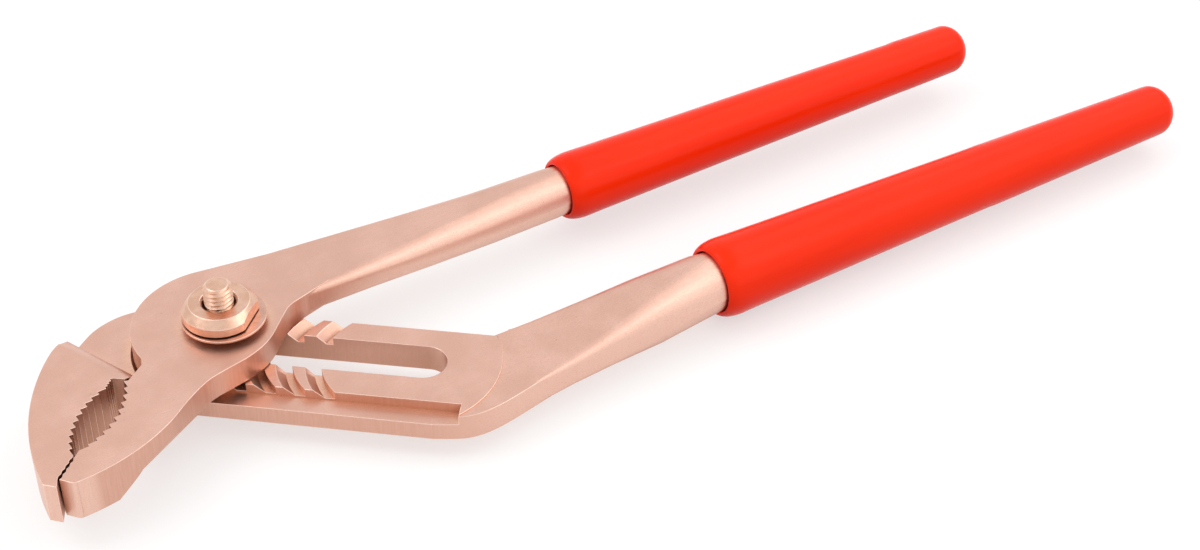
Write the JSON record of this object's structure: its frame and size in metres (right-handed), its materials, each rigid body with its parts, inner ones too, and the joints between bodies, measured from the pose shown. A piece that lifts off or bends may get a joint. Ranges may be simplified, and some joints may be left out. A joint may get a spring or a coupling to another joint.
{
  "type": "groove-joint pliers",
  "caption": "Adjustable groove-joint pliers in satin copper alloy: curved toothed jaws, a slotted lower lever with stop grooves, a bolted sliding pivot and long dipped vinyl grips.",
  "frame": {"origin": "on the pivot axis at the end face of the bolt head, which is the lowest flat face of the tool lying nut side up", "axes": "+X from the pivot toward the handle ends, jaws toward -X; +Z along the pivot axis toward the nut; millimetres in the source, jaws closed and the pivot in its first stop"},
  "size_m": [0.2657, 0.0709, 0.0264],
  "materials": {
    "copper_ground": "satin ground copper-beryllium, rose coloured",
    "copper_turned": "turned copper-beryllium, a little brighter and yellower",
    "vinyl": "glossy dipped vinyl, orange-red"
  },
  "bodies": {
    "lower": {"lower_lever": "copper_ground", "lower_grip": "vinyl"},
    "pivot": {"pivot_bolt": "copper_turned", "head_washer": "copper_turned", "nut_washer": "copper_turned", "pivot_nut": "copper_turned"},
    "upper": {"upper_lever": "copper_ground", "upper_grip": "vinyl"}
  },
  "joints": [
    {"name": "slot_slide", "type": "slide", "parent": "lower", "child": "pivot", "axis": [0.7361, -0.6769, 0], "range_m": [0, 0.0354]},
    {"name": "jaw_pivot", "type": "hinge", "parent": "pivot", "child": "upper", "pos_m": [0, 0, 0], "axis": [0, 0, 1], "range_deg": [0, 60]}
  ]
}
